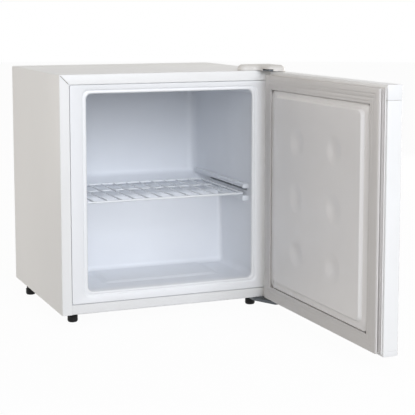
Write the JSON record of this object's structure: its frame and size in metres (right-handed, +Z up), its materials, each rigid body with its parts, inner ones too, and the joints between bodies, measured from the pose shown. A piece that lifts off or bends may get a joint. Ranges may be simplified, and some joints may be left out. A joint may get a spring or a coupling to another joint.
{
  "type": "compact freezer",
  "caption": "Compact white box freezer with a side-hinged door, bellows gasket, foam-insulated liner, sliding wire shelf and a rear machine niche with compressor.",
  "frame": {"origin": "on the floor, under the middle of the object's box with the door standing open at a right angle", "axes": "+X to the right as seen from the front, +Y from the front to the back, +Z up"},
  "size_m": [0.47, 0.89, 0.5185],
  "materials": {
    "white_steel": "white powder coat, satin",
    "zinc_steel": "zinc plated sheet",
    "white_liner": "vacuum formed polystyrene, satin",
    "white_plastic": "moulded, satin",
    "white_wire": "white plastic coated wire",
    "gasket": "soft vinyl, matt",
    "foam": "rigid polyurethane foam",
    "black_plastic": "moulded, matt",
    "black_rubber": "moulded rubber, matt",
    "black_enamel": "black enamel, semi gloss",
    "copper": "drawn copper tube",
    "aluminium": "drawn tube",
    "acetal": "turned, natural"
  },
  "bodies": {
    "cabinet": {"cabinet_wrapper": "white_steel", "bottom_front_rail": "white_steel", "back_panel": "white_steel", "bottom_panel": "zinc_steel", "niche_wall": "zinc_steel", "compressor_carrier": "zinc_steel", "inner_liner": "white_liner", "foam_insulation": "foam", "evaporator_coil": "aluminium", "condenser_coil": "copper", "compressor_shell": "black_enamel", "compressor_base": "black_enamel", "compressor_grommet_1": "black_rubber", "compressor_grommet_2": "black_rubber", "compressor_grommet_3": "black_rubber", "compressor_grommet_4": "black_rubber", "relay_cover": "black_plastic", "relay_lead": "black_plastic", "discharge_tube": "copper", "suction_tube": "copper", "process_tube": "copper", "filter_drier": "copper", "capillary_tube": "copper", "thermostat_housing": "white_plastic", "cord_gland": "black_rubber", "rear_left_foot": "black_plastic", "rear_right_foot": "black_plastic", "lower_hinge_bracket": "zinc_steel", "lower_hinge_pin": "zinc_steel", "upper_hinge_bracket": "zinc_steel", "upper_hinge_pin": "zinc_steel", "upper_hinge_cover": "white_plastic"},
    "door": {"door_skin": "white_steel", "door_top_cap": "white_plastic", "door_bottom_cap": "white_plastic", "door_foam": "foam", "door_liner": "white_liner", "door_gasket": "gasket", "upper_door_bush": "acetal", "lower_door_bush": "acetal"},
    "shelf": {"wire_shelf": "white_wire"},
    "left_foot": {"front_left_foot": "black_plastic"},
    "right_foot": {"front_right_foot": "black_plastic"},
    "knob": {"thermostat_knob": "white_plastic"}
  },
  "joints": [
    {"name": "door_hinge", "type": "hinge", "parent": "cabinet", "child": "door", "pos_m": [0.227, 0.017, 0.027], "axis": [0, 0, 1], "range_deg": [-90, 45]},
    {"name": "shelf_slide", "type": "slide", "parent": "cabinet", "child": "shelf", "axis": [0, -1, 0], "range_m": [0, 0.035]},
    {"name": "left_foot_screw", "type": "slide", "parent": "cabinet", "child": "left_foot", "axis": [0, 0, -1], "range_m": [0, 0.01]},
    {"name": "right_foot_screw", "type": "slide", "parent": "cabinet", "child": "right_foot", "axis": [0, 0, -1], "range_m": [0, 0.01]},
    {"name": "thermostat_turn", "type": "hinge", "parent": "cabinet", "child": "knob", "pos_m": [-0.114, 0.427, 0.071], "axis": [0, 1, 0], "range_deg": [0, 270]}
  ]
}
